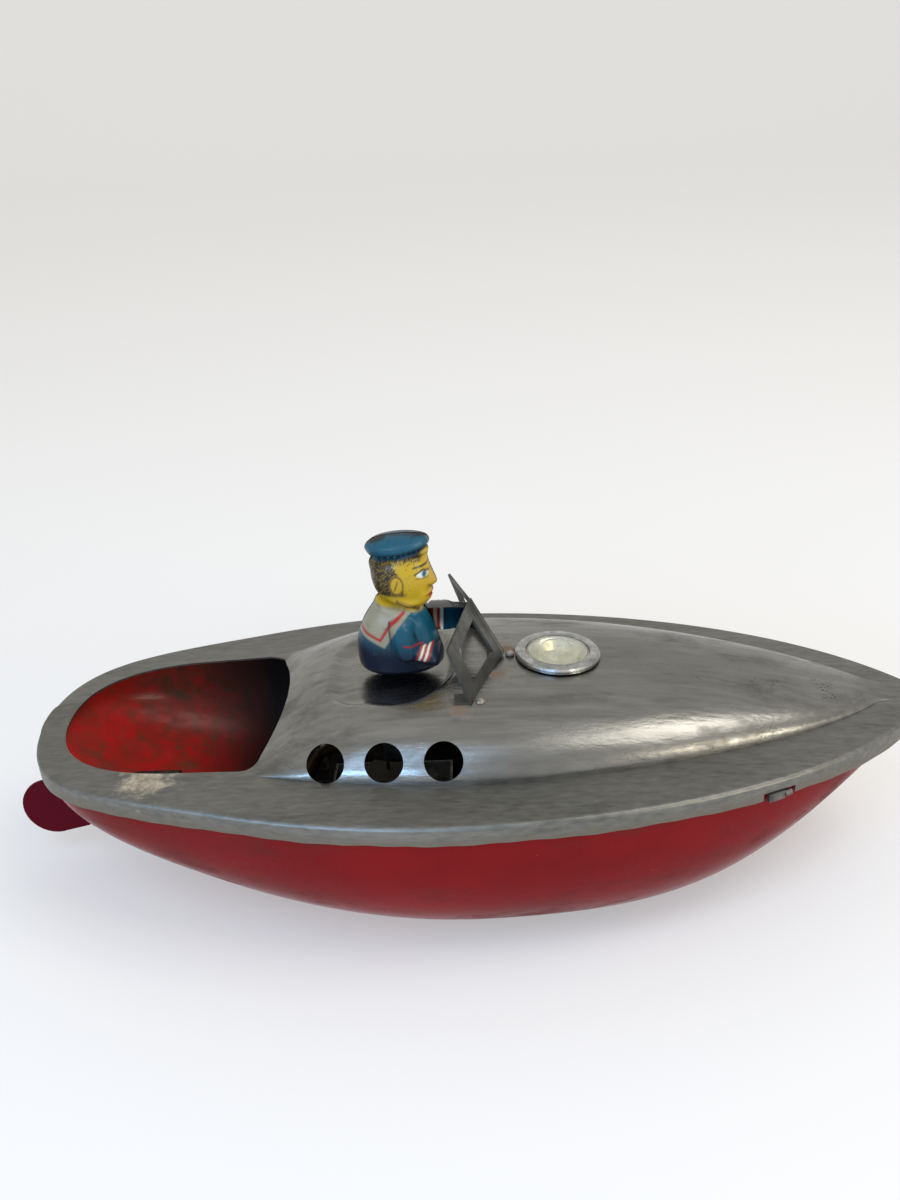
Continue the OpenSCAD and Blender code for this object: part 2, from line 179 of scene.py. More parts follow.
# ---------- meshes ----------
def mesh_object(name, points, faces, smooth_angle=32.0):
    """A mesh object made from points in millimetres."""
    mesh = bpy.data.meshes.new(name)
    placed = [((p[0] + ROW_X) * MM, p[1] * MM, (p[2] + RIM_H) * MM) for p in points]
    mesh.from_pydata(placed, [], faces)
    mesh.validate()
    outward = bmesh.new()
    outward.from_mesh(mesh)
    bmesh.ops.recalc_face_normals(outward, faces=outward.faces)
    outward.to_mesh(mesh)
    outward.free()
    obj = bpy.data.objects.new(name, mesh)
    bpy.context.scene.collection.objects.link(obj)
    soften(obj, smooth_angle)
    return obj


def soften(obj, angle):
    """Shades smooth, except over edges sharper than the angle in degrees."""
    obj.data.shade_smooth()
    obj.data.set_sharp_from_angle(angle=math.radians(angle))


def loft(rings):
    """Points and faces of a closed solid through equal rings, with flat ends."""
    n = len(rings[0])
    last = len(rings) - 1
    points = [p for ring in rings for p in ring]
    faces = []
    for i in range(last):
        for j in range(n):
            k = (j + 1) % n
            faces.append((i * n + j, (i + 1) * n + j, (i + 1) * n + k, i * n + k))
    faces.append(tuple(range(n)))
    faces.append(tuple(last * n + j for j in range(n - 1, -1, -1)))
    return points, faces


def two_sided(half):
    return half + [(p[0], -p[1], p[2]) for p in reversed(half) if p[1] != 0]


def cut(obj, cutter):
    """Applies a boolean and throws the cutter away."""
    modifier = obj.modifiers.new("cut", "BOOLEAN")
    modifier.operation = "DIFFERENCE"
    modifier.solver = "MANIFOLD"
    modifier.object = cutter
    bpy.context.view_layer.update()
    depsgraph = bpy.context.evaluated_depsgraph_get()
    result = bpy.data.meshes.new_from_object(obj.evaluated_get(depsgraph))
    obj.modifiers.clear()
    obj.data = result
    bpy.data.objects.remove(cutter)


def prism(name, outline, low, high):
    """An upright solid over an outline of (x, y)."""
    return mesh_object(name, *loft([[(x, y, z) for x, y in outline] for z in (low, high)]))


def cylinder(name, start, axis, radius, length, sides=64):
    """A round bar from a start point along an axis."""
    axis = Vector(axis).normalized()
    side = axis.orthogonal().normalized()
    other = axis.cross(side)
    rings = []
    for t in (0.0, length):
        ring = []
        for k in range(sides):
            a = 2 * math.pi * k / sides
            ring.append(tuple(Vector(start) + axis * t + radius * (math.cos(a) * side + math.sin(a) * other)))
        rings.append(ring)
    return mesh_object(name, *loft(rings))


# ---------- deck ----------
DOME_STEPS = 64
PAN_FILLET = 3.0
PAN_LEAST = 2.0


def pan_depth(points):
    """0 outside the cockpit pan to 1 on its floor, with soft sides."""
    p = np.array(points)
    depth, _, _ = edge_distance(np.array(cockpit_outline(1.2)), p[:, 0], p[:, 1])
    return smoothstep(-1.2, PAN_FILLET, depth)


def deck_fill(name, inset, drop):
    """The deck filled down to drop below its edge, with its skin moved in by inset."""
    rings = []
    for sx, sy in STATIONS:
        x = sx * (1 - inset / HALF_LEN)
        z = rim_z(sx) - inset
        b = max(0.12, sy - inset)
        h = dome_rise(sx)
        d = max(min(dome_half_at(sx), 0.73 * sy), 0.3 * sy) - inset
        w = max(0.05, min(d, 0.8 * b))
        wave = 0.14 * math.sin(0.19 * sx) + 0.09 * math.sin(0.67 * sx + 1)
        half = [(x, b - min(0.3, 0.2 * b), z - drop + wave), (x, b, z - 1)]
        for turn in (15, 45, 75):
            a = math.radians(turn)
            half.append((x, b - min(1.2, 0.15 * b) * (1 - math.cos(a)), z - 1 + math.sin(a)))
        flat_y = b - min(1.4, 0.2 * b)
        for share in (0.0, 0.3, 0.6, 0.85, 0.97):
            half.append((x, flat_y + share * (w - flat_y), z + 0.6 * share))
        for i in range(DOME_STEPS + 1):
            a = math.pi / 2 * i / DOME_STEPS
            y = 0.0 if i == DOME_STEPS else w * math.cos(a)
            half.append((x, y, z + 0.6 + h * (1 - max(0.0, math.cos(a)) ** 3) ** 0.56))
        if COCKPIT_SPAN[0] < x < COCKPIT_SPAN[1]:
            sunk = pan_depth(half)
            floor = COCKPIT_FLOOR - inset
            half = [(px, py, pz - k * max(PAN_LEAST, pz - floor)) for (px, py, pz), k in zip(half, sunk)]
        rings.append(two_sided(half))
    return mesh_object(name, *loft(rings))


WELL_CURVE = ((-0.94, 0), (-0.94, 0.62), (-0.85, 0.92), (-0.68, 0.97))


def well_outline():
    side = []
    for i in range(33):
        p = bezier(WELL_CURVE, i / 32)
        side.append((p[0] * HALF_LEN, p[1] * WELL_HALF))
    for turn in range(85, -1, -8):
        a = math.radians(turn)
        side.append((WELL_FRONT - 9 + 5 * math.cos(a), WELL_HALF - 5 + 5 * math.sin(a)))
    for i in range(1, 13):
        side.append((WELL_FRONT - 4 + i / 3, (WELL_HALF - 5) * math.sqrt(1 - i / 12)))
    return side + [(x, -y) for x, y in reversed(side[1:-1])]


COCKPIT_MID = -22.0
COCKPIT_AFT = -37.0
COCKPIT_FRONT_RUN = 14.5
COCKPIT_CORNER = 9.0
COCKPIT_CORNER_Y = COCKPIT_HALF - 10.5


def cockpit_outline(grow):
    side = []
    for turn in range(0, 91, 3):
        a = math.radians(turn)
        x = COCKPIT_MID + (COCKPIT_FRONT_RUN + grow) * math.cos(a)
        side.append((x, (COCKPIT_HALF + grow) * math.sin(a)))
    for turn in range(90, 181, 9):
        a = math.radians(turn)
        x = COCKPIT_AFT + COCKPIT_CORNER + (COCKPIT_CORNER + grow) * math.cos(a)
        side.append((x, COCKPIT_CORNER_Y + (COCKPIT_CORNER + grow) * math.sin(a)))
    return side + [(x, -y) for x, y in reversed(side[1:]) if y > 1e-6]


LIGHT_HOLE_R = 7.9
NOTCH_HALF = 4.0
NOTCH_REACH = 5.0
NOTCH_TOP = 1.6 - SKIRT_H


def build_deck():
    deck = deck_fill("deck_fine", 0.0, SKIRT_H)
    cut(deck, deck_fill("deck_inside", SHEET, SKIRT_H + 2))
    cut(deck, prism("well_cut", well_outline(), -12, 18))
    tilt = math.radians(PORT_TILT)
    for i in (-1, 0, 1):
        for side in (-1, 1):
            axis = Vector((0, side * math.cos(tilt), math.sin(tilt)))
            start = Vector((PORT_X + i * PORT_PITCH, side * (DOME_HALF - 3), PORT_Z)) - 12 * axis
            cut(deck, cylinder("port_cut", start, axis, PORT_D / 2, 22))
    cut(deck, cylinder("light_cut", (LIGHT_X, 0, 0), (0, 0, 1), LIGHT_HOLE_R, 30))
    for side in (-1, 1):
        y = side * half_breadth(TAB_X)
        low_x, high_x = TAB_X - NOTCH_HALF, TAB_X + NOTCH_HALF
        low_y, high_y = y - NOTCH_REACH, y + NOTCH_REACH
        square = [(low_x, low_y), (high_x, low_y), (high_x, high_y), (low_x, high_y)]
        cut(deck, prism("notch", square, -SKIRT_H - 2, NOTCH_TOP))
    soften(deck, 34)
    return deck


# ---------- hull ----------
HULL_STEPS = 44
TUBE_Y = 3.8
TUBE_Z = -23.6
TUBE_R = 1.7


def hull_fill(name, inset, lift):
    """The hull filled up to lift above its edge, with its skin moved in by inset."""
    rings = []
    for sx, sy in STATIONS:
        x = sx * (1 - (SHEET + HULL_GAP + inset) / HALF_LEN)
        z = rim_z(sx)
        b = max(0.12, (sy - SHEET - HULL_GAP) * (1 - inset / HALF_BEAM))
        d = max(0.3, keel_depth(sx) * (1 - inset / KEEL_D))
        half = [(x, b, z + lift)]
        for i in range(HULL_STEPS + 1):
            a = math.pi / 2 * i / HULL_STEPS
            y = 0.0 if i == HULL_STEPS else b * math.cos(a) ** 0.667
            half.append((x, y, max(inset - RIM_H, z - 2 - d * math.sin(a) ** 0.667)))
        rings.append(list(reversed(two_sided(half))))
    return mesh_object(name, *loft(rings))


def build_hull():
    hull = hull_fill("hull_fine", 0.0, -SHEET - HULL_GAP)
    cut(hull, hull_fill("hull_inside", SHEET, 1.0))
    for side in (-1, 1):
        cut(hull, cylinder("tube_hole", (-78, side * TUBE_Y, TUBE_Z), (-1, 0, 0), TUBE_R, 24))
    soften(hull, 34)
    return hull


# ---------- materials ----------
class Paint:
    """A node material with a few short ways to make its nodes."""

    def __init__(self, name):
        self.material = bpy.data.materials.new(name)
        self.material.use_nodes = True
        self.tree = self.material.node_tree
        self.shader = self.tree.nodes["Principled BSDF"]
        self.coords = self.tree.nodes.new("ShaderNodeTexCoord").outputs["Object"]

    def node(self, kind, **values):
        made = self.tree.nodes.new(kind)
        for key, value in values.items():
            setattr(made, key, value)
        return made

    def link(self, source, target):
        self.tree.links.new(source, target)

    def scaled(self, scale):
        """The coordinates in metres, stretched by three factors."""
        mapping = self.node("ShaderNodeMapping")
        mapping.inputs["Scale"].default_value = scale
        self.link(self.coords, mapping.inputs["Vector"])
        return mapping.outputs["Vector"]

    def noise(self, scale, stretch=(1, 1, 1), detail=4.0, rough=0.55):
        made = self.node("ShaderNodeTexNoise")
        made.inputs["Scale"].default_value = scale
        made.inputs["Detail"].default_value = detail
        made.inputs["Roughness"].default_value = rough
        self.link(self.scaled(stretch), made.inputs["Vector"])
        return made.outputs["Fac"]

    def band(self, value, low, high, low_out=0.0, high_out=1.0):
        """Maps low..high of a value to low_out..high_out, clamped."""
        made = self.node("ShaderNodeMapRange")
        ends = (("From Min", low), ("From Max", high), ("To Min", low_out), ("To Max", high_out))
        for socket, number in ends:
            made.inputs[socket].default_value = number
        self.link(value, made.inputs["Value"])
        return made.outputs["Result"]

    def maths(self, operation, a, b):
        made = self.node("ShaderNodeMath", operation=operation, use_clamp=True)
        for i, value in enumerate((a, b)):
            if isinstance(value, (int, float)):
                made.inputs[i].default_value = value
            else:
                self.link(value, made.inputs[i])
        return made.outputs[0]

    def mix(self, amount, a, b):
        """A colour between a and b, each a colour or a socket."""
        made = self.node("ShaderNodeMix", data_type="RGBA")
        self.link(amount, made.inputs[0])
        for i, value in ((6, a), (7, b)):
            if isinstance(value, tuple):
                made.inputs[i].default_value = (*value, 1.0)
            else:
                self.link(value, made.inputs[i])
        return made.outputs[2]

    def spot(self, centre, radius, soft=0.4, rough_edge=0.0):
        """1 inside a ball round a place in millimetres, and 0 outside it."""
        place = ((centre[0] + ROW_X) * MM, centre[1] * MM, (centre[2] + RIM_H) * MM)
        away = self.node("ShaderNodeVectorMath", operation="DISTANCE")
        self.link(self.coords, away.inputs[0])
        away.inputs[1].default_value = place
        distance = away.outputs["Value"]
        if rough_edge:
            wobble = self.band(self.noise(260.0), 0.3, 0.7, -rough_edge * MM, rough_edge * MM)
            add = self.node("ShaderNodeMath", operation="ADD")
            self.link(distance, add.inputs[0])
            self.link(wobble, add.inputs[1])
            distance = add.outputs[0]
        return self.band(distance, radius * (1 - soft) * MM, radius * (1 + soft) * MM, 1.0, 0.0)

    def axis(self, letter):
        """The X, Y or Z coordinate in metres."""
        made = self.node("ShaderNodeSeparateXYZ")
        self.link(self.coords, made.inputs[0])
        return made.outputs[letter]

    def bump(self, height, strength, distance):
        made = self.node("ShaderNodeBump")
        made.inputs["Strength"].default_value = strength
        made.inputs["Distance"].default_value = distance
        self.link(height, made.inputs["Height"])
        self.link(made.outputs["Normal"], self.shader.inputs["Normal"])

    def set(self, **values):
        """Plain numbers, colours or sockets on the shader's own sockets."""
        for key, value in values.items():
            socket = self.shader.inputs[key.replace("_", " ")]
            if isinstance(value, bpy.types.NodeSocket):
                self.link(value, socket)
            elif isinstance(value, tuple):
                socket.default_value = (*value, 1.0)
            else:
                socket.default_value = value


def pits(paint, scale, size, where):
    """Small dark pits, kept to where a mask is 1."""
    cells = paint.node("ShaderNodeTexVoronoi")
    cells.inputs["Scale"].default_value = scale
    paint.link(paint.coords, cells.inputs["Vector"])
    dots = paint.band(cells.outputs["Distance"], size, size + 0.08, 1.0, 0.0)
    chosen = paint.band(paint.noise(150.0), 0.52, 0.6)
    return paint.maths("MULTIPLY", paint.maths("MULTIPLY", dots, chosen), where)


def tin_material():
    """Worn bare tinplate: grey, streaked along the boat, stained and pitted, with painted shade on the side
    deck.
    """
    paint = Paint("worn_tin")
    streaks = paint.band(paint.noise(420.0, (0.09, 1, 1), 5.0, 0.65), 0.35, 0.7)
    cloud = paint.band(paint.noise(24.0, (0.6, 1, 1), 5.0, 0.6), 0.4, 0.64)
    stain = paint.band(paint.noise(70.0, (0.5, 1, 1), 6.0, 0.7), 0.52, 0.68)
    fine = paint.band(paint.noise(900.0, (0.3, 1, 1), 3.0), 0.3, 0.7)
    color = paint.mix(streaks, (0.205, 0.20, 0.185), (0.31, 0.305, 0.285))
    color = paint.mix(cloud, color, (0.18, 0.182, 0.168))
    color = paint.mix(paint.maths("MULTIPLY", stain, 0.6), color, (0.085, 0.08, 0.07))
    side_deck = paint.band(paint.axis("Z"), 0.0462, 0.0448)
    # Painted shade: the side deck, below the dome's foot, is darkened towards (0.10, 0.10, 0.09).
    color = paint.mix(paint.maths("MULTIPLY", side_deck, 0.5), color, (0.10, 0.10, 0.09))
    grit = paint.maths("MULTIPLY", paint.maths("MULTIPLY", fine, side_deck), 0.35)
    color = paint.mix(grit, color, (0.34, 0.335, 0.30))
    forward = paint.band(paint.axis("X"), 0.015, 0.05, 0.12, 1.0)
    low = paint.band(paint.axis("Z"), 0.0565, 0.0525, 0.2, 1.0)
    patchy = paint.band(paint.noise(45.0), 0.48, 0.58)
    where = paint.maths("MULTIPLY", paint.maths("MULTIPLY", forward, low), patchy)
    where = paint.maths("MULTIPLY", where, paint.band(side_deck, 0.0, 1.0, 1.0, 0.15))
    dots = paint.maths("MAXIMUM", pits(paint, 900.0, 0.2, where), pits(paint, 1500.0, 0.22, where))
    color = paint.mix(dots, color, (0.03, 0.03, 0.028))
    crust = paint.spot((-81, -29.5, 0.5), 5.6, 0.5, 4.5)
    grain = paint.band(paint.noise(520.0, (1, 1, 1), 6.0, 0.75), 0.38, 0.66)
    crust_color = paint.mix(grain, (0.44, 0.38, 0.28), (0.19, 0.14, 0.085))
    color = paint.mix(crust, color, crust_color)
    rust = paint.spot((4, -9, 13.5), 2.2, 0.6, 1.6)
    rust = paint.maths("MAXIMUM", rust, paint.spot((6.5, 3.5, 14.0), 2.4, 0.6, 1.6))
    rust = paint.maths("MAXIMUM", rust, paint.spot((-5, -22, 11.8), 2.6, 0.6, 1.6))
    color = paint.mix(paint.maths("MULTIPLY", rust, 0.8), color, (0.15, 0.085, 0.035))
    edge = paint.band(paint.axis("Z"), 0.0415, 0.0395)
    color = paint.mix(paint.maths("MULTIPLY", edge, 0.6), color, (0.19, 0.165, 0.13))
    shine = paint.band(paint.maths("ADD", paint.maths("MULTIPLY", cloud, 0.5), stain), 0.0, 1.4, 0.27, 0.5)
    shine = paint.maths("MAXIMUM", shine, paint.maths("MULTIPLY", side_deck, 0.46))
    matt = paint.maths("MAXIMUM", crust, rust)
    paint.set(Base_Color=color, Roughness=paint.maths("MAXIMUM", shine, paint.maths("MULTIPLY", matt, 0.85)),
              Metallic=paint.maths("SUBTRACT", 1.0, matt))
    bumps = paint.maths("ADD", paint.maths("MULTIPLY", fine, 0.35), paint.maths("MULTIPLY", cloud, 0.65))
    bumps = paint.maths("ADD", bumps, paint.maths("MULTIPLY", crust, grain))
    paint.bump(bumps, 0.3, 0.0003)
    return paint.material


def hull_material():
    """Glossy red enamel outside; inside, scorched, lightened by painted light, and near black under the deck
    with soot and painted shade.
    """
    paint = Paint("red_enamel")
    cloud = paint.band(paint.noise(30.0, (0.6, 1, 1), 5.0, 0.6), 0.35, 0.7)
    color = paint.mix(cloud, (0.20, 0.0025, 0.004), (0.13, 0.0015, 0.003))
    hair = paint.band(paint.noise(240.0, (0.35, 1, 2.5), 8.0, 0.8), 0.66, 0.70)
    color = paint.mix(paint.maths("MULTIPLY", hair, 0.4), color, (0.62, 0.16, 0.10))
    # Darker blotches over the hull: at 0.3 strength high up, full strength towards the bottom.
    hull_mottle = paint.band(paint.noise(85.0, (0.4, 1, 1), 6.0, 0.7), 0.5, 0.66)
    bottom = paint.band(paint.axis("Z"), 0.015, 0.003)
    low_darkening = paint.maths("MULTIPLY", hull_mottle, paint.maths("MAXIMUM", bottom, 0.3))
    color = paint.mix(low_darkening, color, (0.05, 0.018, 0.012))
    scorch = paint.spot((-84, 28, -7), 14.0, 0.8, 8.0)
    wide_scorch = paint.maths("MULTIPLY", paint.spot((-70, 36, -6), 22, 0.6, 9.0), 0.9)
    scorch = paint.maths("MAXIMUM", scorch, wide_scorch)
    blotch = paint.band(paint.noise(60.0, (1, 1, 1), 5.0, 0.7), 0.46, 0.62)
    scorch = paint.maths("MAXIMUM", scorch, paint.maths("MULTIPLY", blotch, 0.55))
    rust = paint.band(paint.noise(190.0, (1, 1, 1), 6.0, 0.7), 0.56, 0.62)
    inside = paint.node("ShaderNodeSeparateColor")
    attribute = paint.node("ShaderNodeAttribute", attribute_name="inside")
    paint.link(attribute.outputs["Color"], inside.inputs[0])
    indoors = inside.outputs[0]
    # Painted light: the inner skin is lightened towards a brighter red, standing in for light the shaded
    # inside doesn't get.
    color = paint.mix(paint.maths("MULTIPLY", indoors, 0.6), color, (0.55, 0.022, 0.018))
    color = paint.mix(paint.maths("MULTIPLY", scorch, indoors), color, (0.085, 0.032, 0.018))
    inner_rust = paint.maths("MULTIPLY", rust, paint.maths("MULTIPLY", indoors, 0.75))
    color = paint.mix(inner_rust, color, (0.13, 0.04, 0.02))
    # Near black over the inner skin forward of the well, under the deck: soot over the burner together with
    # painted shade.
    soot_and_shade = paint.maths("MULTIPLY", paint.band(paint.axis("X"), -0.078, -0.056), indoors)
    color = paint.mix(soot_and_shade, color, (0.012, 0.008, 0.007))
    rough = paint.band(paint.maths("MAXIMUM", hull_mottle, soot_and_shade), 0.0, 1.0, 0.2, 0.5)
    paint.set(Base_Color=color, Roughness=rough, Specular_IOR_Level=0.13)
    paint.bump(cloud, 0.2, 0.0006)
    return paint.material


def metal_material(name, dark, light, rough, metallic=1.0, grain=300.0):
    """A metal with a little mottling between two colours."""
    paint = Paint(name)
    cloud = paint.band(paint.noise(grain, (1, 1, 1), 5.0, 0.6), 0.35, 0.68)
    paint.set(Base_Color=paint.mix(cloud, light, dark), Metallic=metallic,
              Roughness=paint.band(cloud, 0.0, 1.0, rough, min(1.0, rough + 0.2)))
    paint.bump(cloud, 0.25, 0.0003)
    return paint.material


def painted_material(name, rough, coat=0.15):
    """Takes its colour from the mesh's own colours, with fine wear."""
    paint = Paint(name)
    attribute = paint.node("ShaderNodeAttribute", attribute_name="paint")
    wear = paint.band(paint.noise(520.0, (1, 1, 1), 6.0, 0.7), 0.6, 0.68)
    color = paint.mix(paint.maths("MULTIPLY", wear, 0.45), attribute.outputs["Color"], (0.05, 0.05, 0.05))
    paint.set(Base_Color=color, Roughness=rough, Coat_Weight=coat, Coat_Roughness=0.2, Specular_IOR_Level=0.3)
    return paint.material


def glass_material():
    paint = Paint("clear_lens")
    paint.set(Base_Color=(0.95, 0.97, 0.93), Roughness=0.04, IOR=1.48, Transmission_Weight=0.92)
    return paint.material


def plain_material(name, color, rough, metallic=0.0, **more):
    paint = Paint(name)
    paint.set(Base_Color=color, Roughness=rough, Metallic=metallic, **more)
    return paint.material


# ---------- the driver ----------
def round_outline(points, steps=8):
    """A closed smooth curve through the points, by Catmull-Rom."""
    p = np.asarray(points, float)
    n = len(p)
    out = []
    for i in range(n):
        a, b, c, d = p[i - 1], p[i], p[(i + 1) % n], p[(i + 2) % n]
        for k in range(steps):
            t = k / steps
            out.append(0.5 * (2 * b + (c - a) * t + (2 * a - 5 * b + 4 * c - d) * t * t
                              + (3 * b - a - 3 * c + d) * t ** 3))
    return np.array(out)


# Side view of the driver, as (x, z): the outlines are drawn round the front, clockwise from the cap.
CAP = ((-27.4, 45.8), (-24.9, 47.8), (-19.4, 48.7), (-13.3, 48.5), (-11.6, 47.2), (-12.4, 45.6),
       (-16.7, 44.0), (-22, 43.0), (-25.2, 42.6), (-26.8, 43.8))
HEAD = ((-26, 42.8), (-19, 44.6), (-12.4, 45.4), (-12.2, 42.6), (-11.7, 40.4), (-11.0, 38.4),
        (-10.2, 36.0), (-10.6, 35.1), (-11.6, 34.6), (-11.2, 33.6), (-11.7, 32.9), (-11.5, 32.2),
        (-12.0, 31.2), (-13.2, 30.2), (-15.6, 29.8), (-18.5, 29.6), (-22.5, 31.6), (-24.9, 33.4),
        (-26.0, 35.6), (-26.5, 39.0))
TORSO = ((-24.8, 32.6), (-20.5, 31.2), (-15.5, 30.6), (-13.4, 28.6), (-11.8, 25.0), (-10.6, 21.0),
         (-9.6, 17.6), (-9.4, 15.8), (-10.0, 13.2), (-13.0, 10.9), (-17.5, 10.2), (-23.6, 10.2),
         (-28.0, 10.9), (-30.8, 13.4), (-31.0, 20.5), (-29.4, 25.6), (-26.8, 29.8))
FAR_ARM = ((-13.4, 27.6), (-9, 28.0), (-4.6, 28.0), (-1.4, 27.4), (-0.6, 25.8), (-1.6, 23.4), (-4.0, 22.6),
           (-9.4, 21.8), (-13.2, 23.4))

TEAL = (0.004, 0.075, 0.12)
DEEP_TEAL = (0.003, 0.038, 0.065)
NAVY = (0.003, 0.008, 0.022)
SKIN = (0.46, 0.30, 0.012)
CREAM = (0.27, 0.245, 0.165)
RED = (0.33, 0.018, 0.018)
HAIR = (0.022, 0.014, 0.008)
BLACK = (0.008, 0.008, 0.008)
WHITE = (0.62, 0.64, 0.52)
LIPS = (0.36, 0.02, 0.02)


def ball(x, z, centre, radii, top):
    """Height of a soft boss over the plane of the figure."""
    q = 1 - ((x - centre[0]) / radii[0]) ** 2 - ((z - centre[1]) / radii[1]) ** 2
    return top * np.sqrt(np.maximum(q, 0))


def soft_max(heights, k=0.35):
    """A smooth maximum, so the bosses flow together."""
    return k * np.log(sum(np.exp(h / k) for h in heights))


def rod(x, z, start, end, radius, top):
    """Height of a round bar between two places."""
    sx, sz = start
    dx, dz = end[0] - sx, end[1] - sz
    t = np.clip(((x - sx) * dx + (z - sz) * dz) / (dx * dx + dz * dz), 0, 1)
    d = np.hypot(x - sx - t * dx, z - sz - t * dz) / radius
    return top * np.sqrt(np.maximum(1 - d * d, 0))


def stripe(x, z, start, end, width):
    """1 on a line of some width between two places."""
    sx, sz = start
    dx, dz = end[0] - sx, end[1] - sz
    t = np.clip(((x - sx) * dx + (z - sz) * dz) / (dx * dx + dz * dz), 0, 1)
    return smoothstep(width / 2 + 0.18, width / 2 - 0.18, np.hypot(x - sx - t * dx, z - sz - t * dz))


def layer(color, amount, new):
    return color * (1 - amount[:, None]) + np.array(new)[None, :] * amount[:, None]


def figure_height(x, z, port):
    bosses = [
        ball(x, z, (-19, 46.0), (8.6, 4.0), 5.2),
        ball(x, z, (-19, 37.4), (8.6, 8.6), 5.6),
        ball(x, z, (-13.8, 33.6), (3.4, 4.2), 4.2),
        ball(x, z, (-19.2, 29.5), (8.4, 6.4), 5.4),
        ball(x, z, (-21, 19.5), (11.2, 13.5), 7.2),
    ]
    if port:
        bosses.append(rod(x, z, (-17.5, 25), (-9, 25.2), 3.6, 8.6))
        bosses.append(rod(x, z, (-9, 25.2), (-2.6, 24.8), 2.7, 7.6))
    else:
        bosses.append(rod(x, z, (-19.5, 25.4), (-18.4, 19.6), 4.3, 9.2))
        bosses.append(rod(x, z, (-18.4, 19.6), (-11.2, 16.8), 2.8, 8.0))
    return soft_max(bosses)


